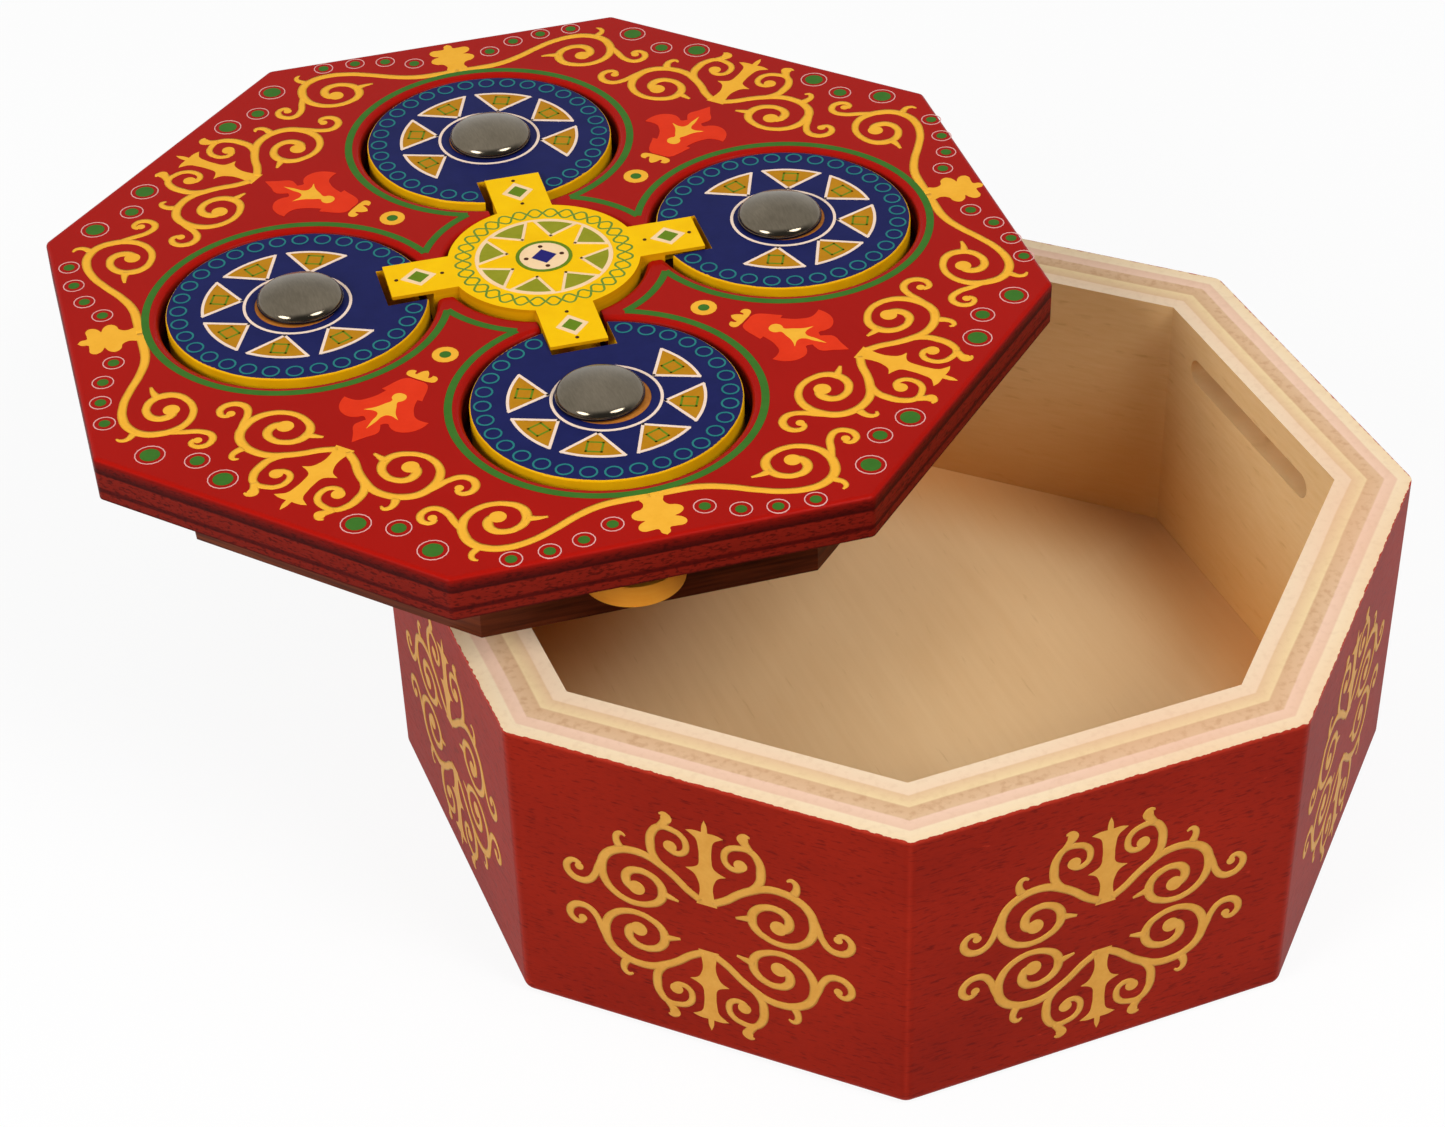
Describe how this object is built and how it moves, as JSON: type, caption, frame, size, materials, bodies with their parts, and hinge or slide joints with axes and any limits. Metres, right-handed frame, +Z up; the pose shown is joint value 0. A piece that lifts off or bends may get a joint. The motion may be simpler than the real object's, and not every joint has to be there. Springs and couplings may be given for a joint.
{
  "type": "wooden puzzle box",
  "caption": "Eight-sided plywood puzzle box with a lift-off lid that is locked by turning dials, their swinging latch bars and a cross-shaped key.",
  "frame": {"origin": "middle of the base, on the surface that the box stands on", "axes": "+Z up; X and Y each point square out of a slotted wall; the lid lies askew towards -X and +Y"},
  "size_m": [0.2061, 0.2179, 0.084],
  "materials": {
    "wall_plywood": "plywood, dark red paint outside, bare inside",
    "bare_plywood": "bare plywood veneer",
    "red_lacquer": "glossy red lacquer with printed ornament",
    "dark_stain": "dark brown stain",
    "dial_paint": "blue print over yellow paint",
    "yellow_paint": "yellow paint with printed ornament",
    "dowel_wood": "bare hardwood dowel",
    "latch_wood": "bare plywood",
    "knob_steel": "nickel-plated, polished",
    "screw_steel": "zinc-plated"
  },
  "bodies": {
    "box": {"floor_panel": "bare_plywood", "latch_wall_1": "wall_plywood", "plain_wall_1": "wall_plywood", "latch_wall_2": "wall_plywood", "plain_wall_2": "wall_plywood", "latch_wall_3": "wall_plywood", "plain_wall_3": "wall_plywood", "latch_wall_4": "wall_plywood", "plain_wall_4": "wall_plywood"},
    "lid": {"lid_frame": "red_lacquer", "lid_floor": "dark_stain", "latch_spacer": "dark_stain", "latch_cover": "dark_stain", "cover_screws": "screw_steel"},
    "key": {"key_star": "yellow_paint"},
    "front_lock": {"front_dial": "dial_paint", "front_spindle": "dowel_wood", "front_knob": "knob_steel", "front_latch_bar": "latch_wood", "front_latch_screw": "screw_steel"},
    "right_lock": {"right_dial": "dial_paint", "right_spindle": "dowel_wood", "right_knob": "knob_steel", "right_latch_bar": "latch_wood", "right_latch_screw": "screw_steel"},
    "back_lock": {"back_dial": "dial_paint", "back_spindle": "dowel_wood", "back_knob": "knob_steel", "back_latch_bar": "latch_wood", "back_latch_screw": "screw_steel"},
    "left_lock": {"left_dial": "dial_paint", "left_spindle": "dowel_wood", "left_knob": "knob_steel", "left_latch_bar": "latch_wood", "left_latch_screw": "screw_steel"}
  },
  "joints": [
    {"name": "lid_lift", "type": "slide", "parent": "box", "child": "lid", "axis": [0, 0, 1], "range_m": [0, 0.08]},
    {"name": "key_lift", "type": "slide", "parent": "lid", "child": "key", "axis": [0, 0, 1], "range_m": [0, 0.015]},
    {"name": "front_dial_turn", "type": "hinge", "parent": "lid", "child": "front_lock", "pos_m": [-0.04591, 0.01095, 0.0809], "axis": [0, 0, 1], "range_deg": [-80, 80]},
    {"name": "right_dial_turn", "type": "hinge", "parent": "lid", "child": "right_lock", "pos_m": [0.00095, 0.04949, 0.0809], "axis": [0, 0, 1], "range_deg": [-80, 80]},
    {"name": "back_dial_turn", "type": "hinge", "parent": "lid", "child": "back_lock", "pos_m": [-0.03759, 0.09635, 0.0809], "axis": [0, 0, 1], "range_deg": [-80, 80]},
    {"name": "left_dial_turn", "type": "hinge", "parent": "lid", "child": "left_lock", "pos_m": [-0.08445, 0.05781, 0.0809], "axis": [0, 0, 1], "range_deg": [-80, 80]}
  ]
}
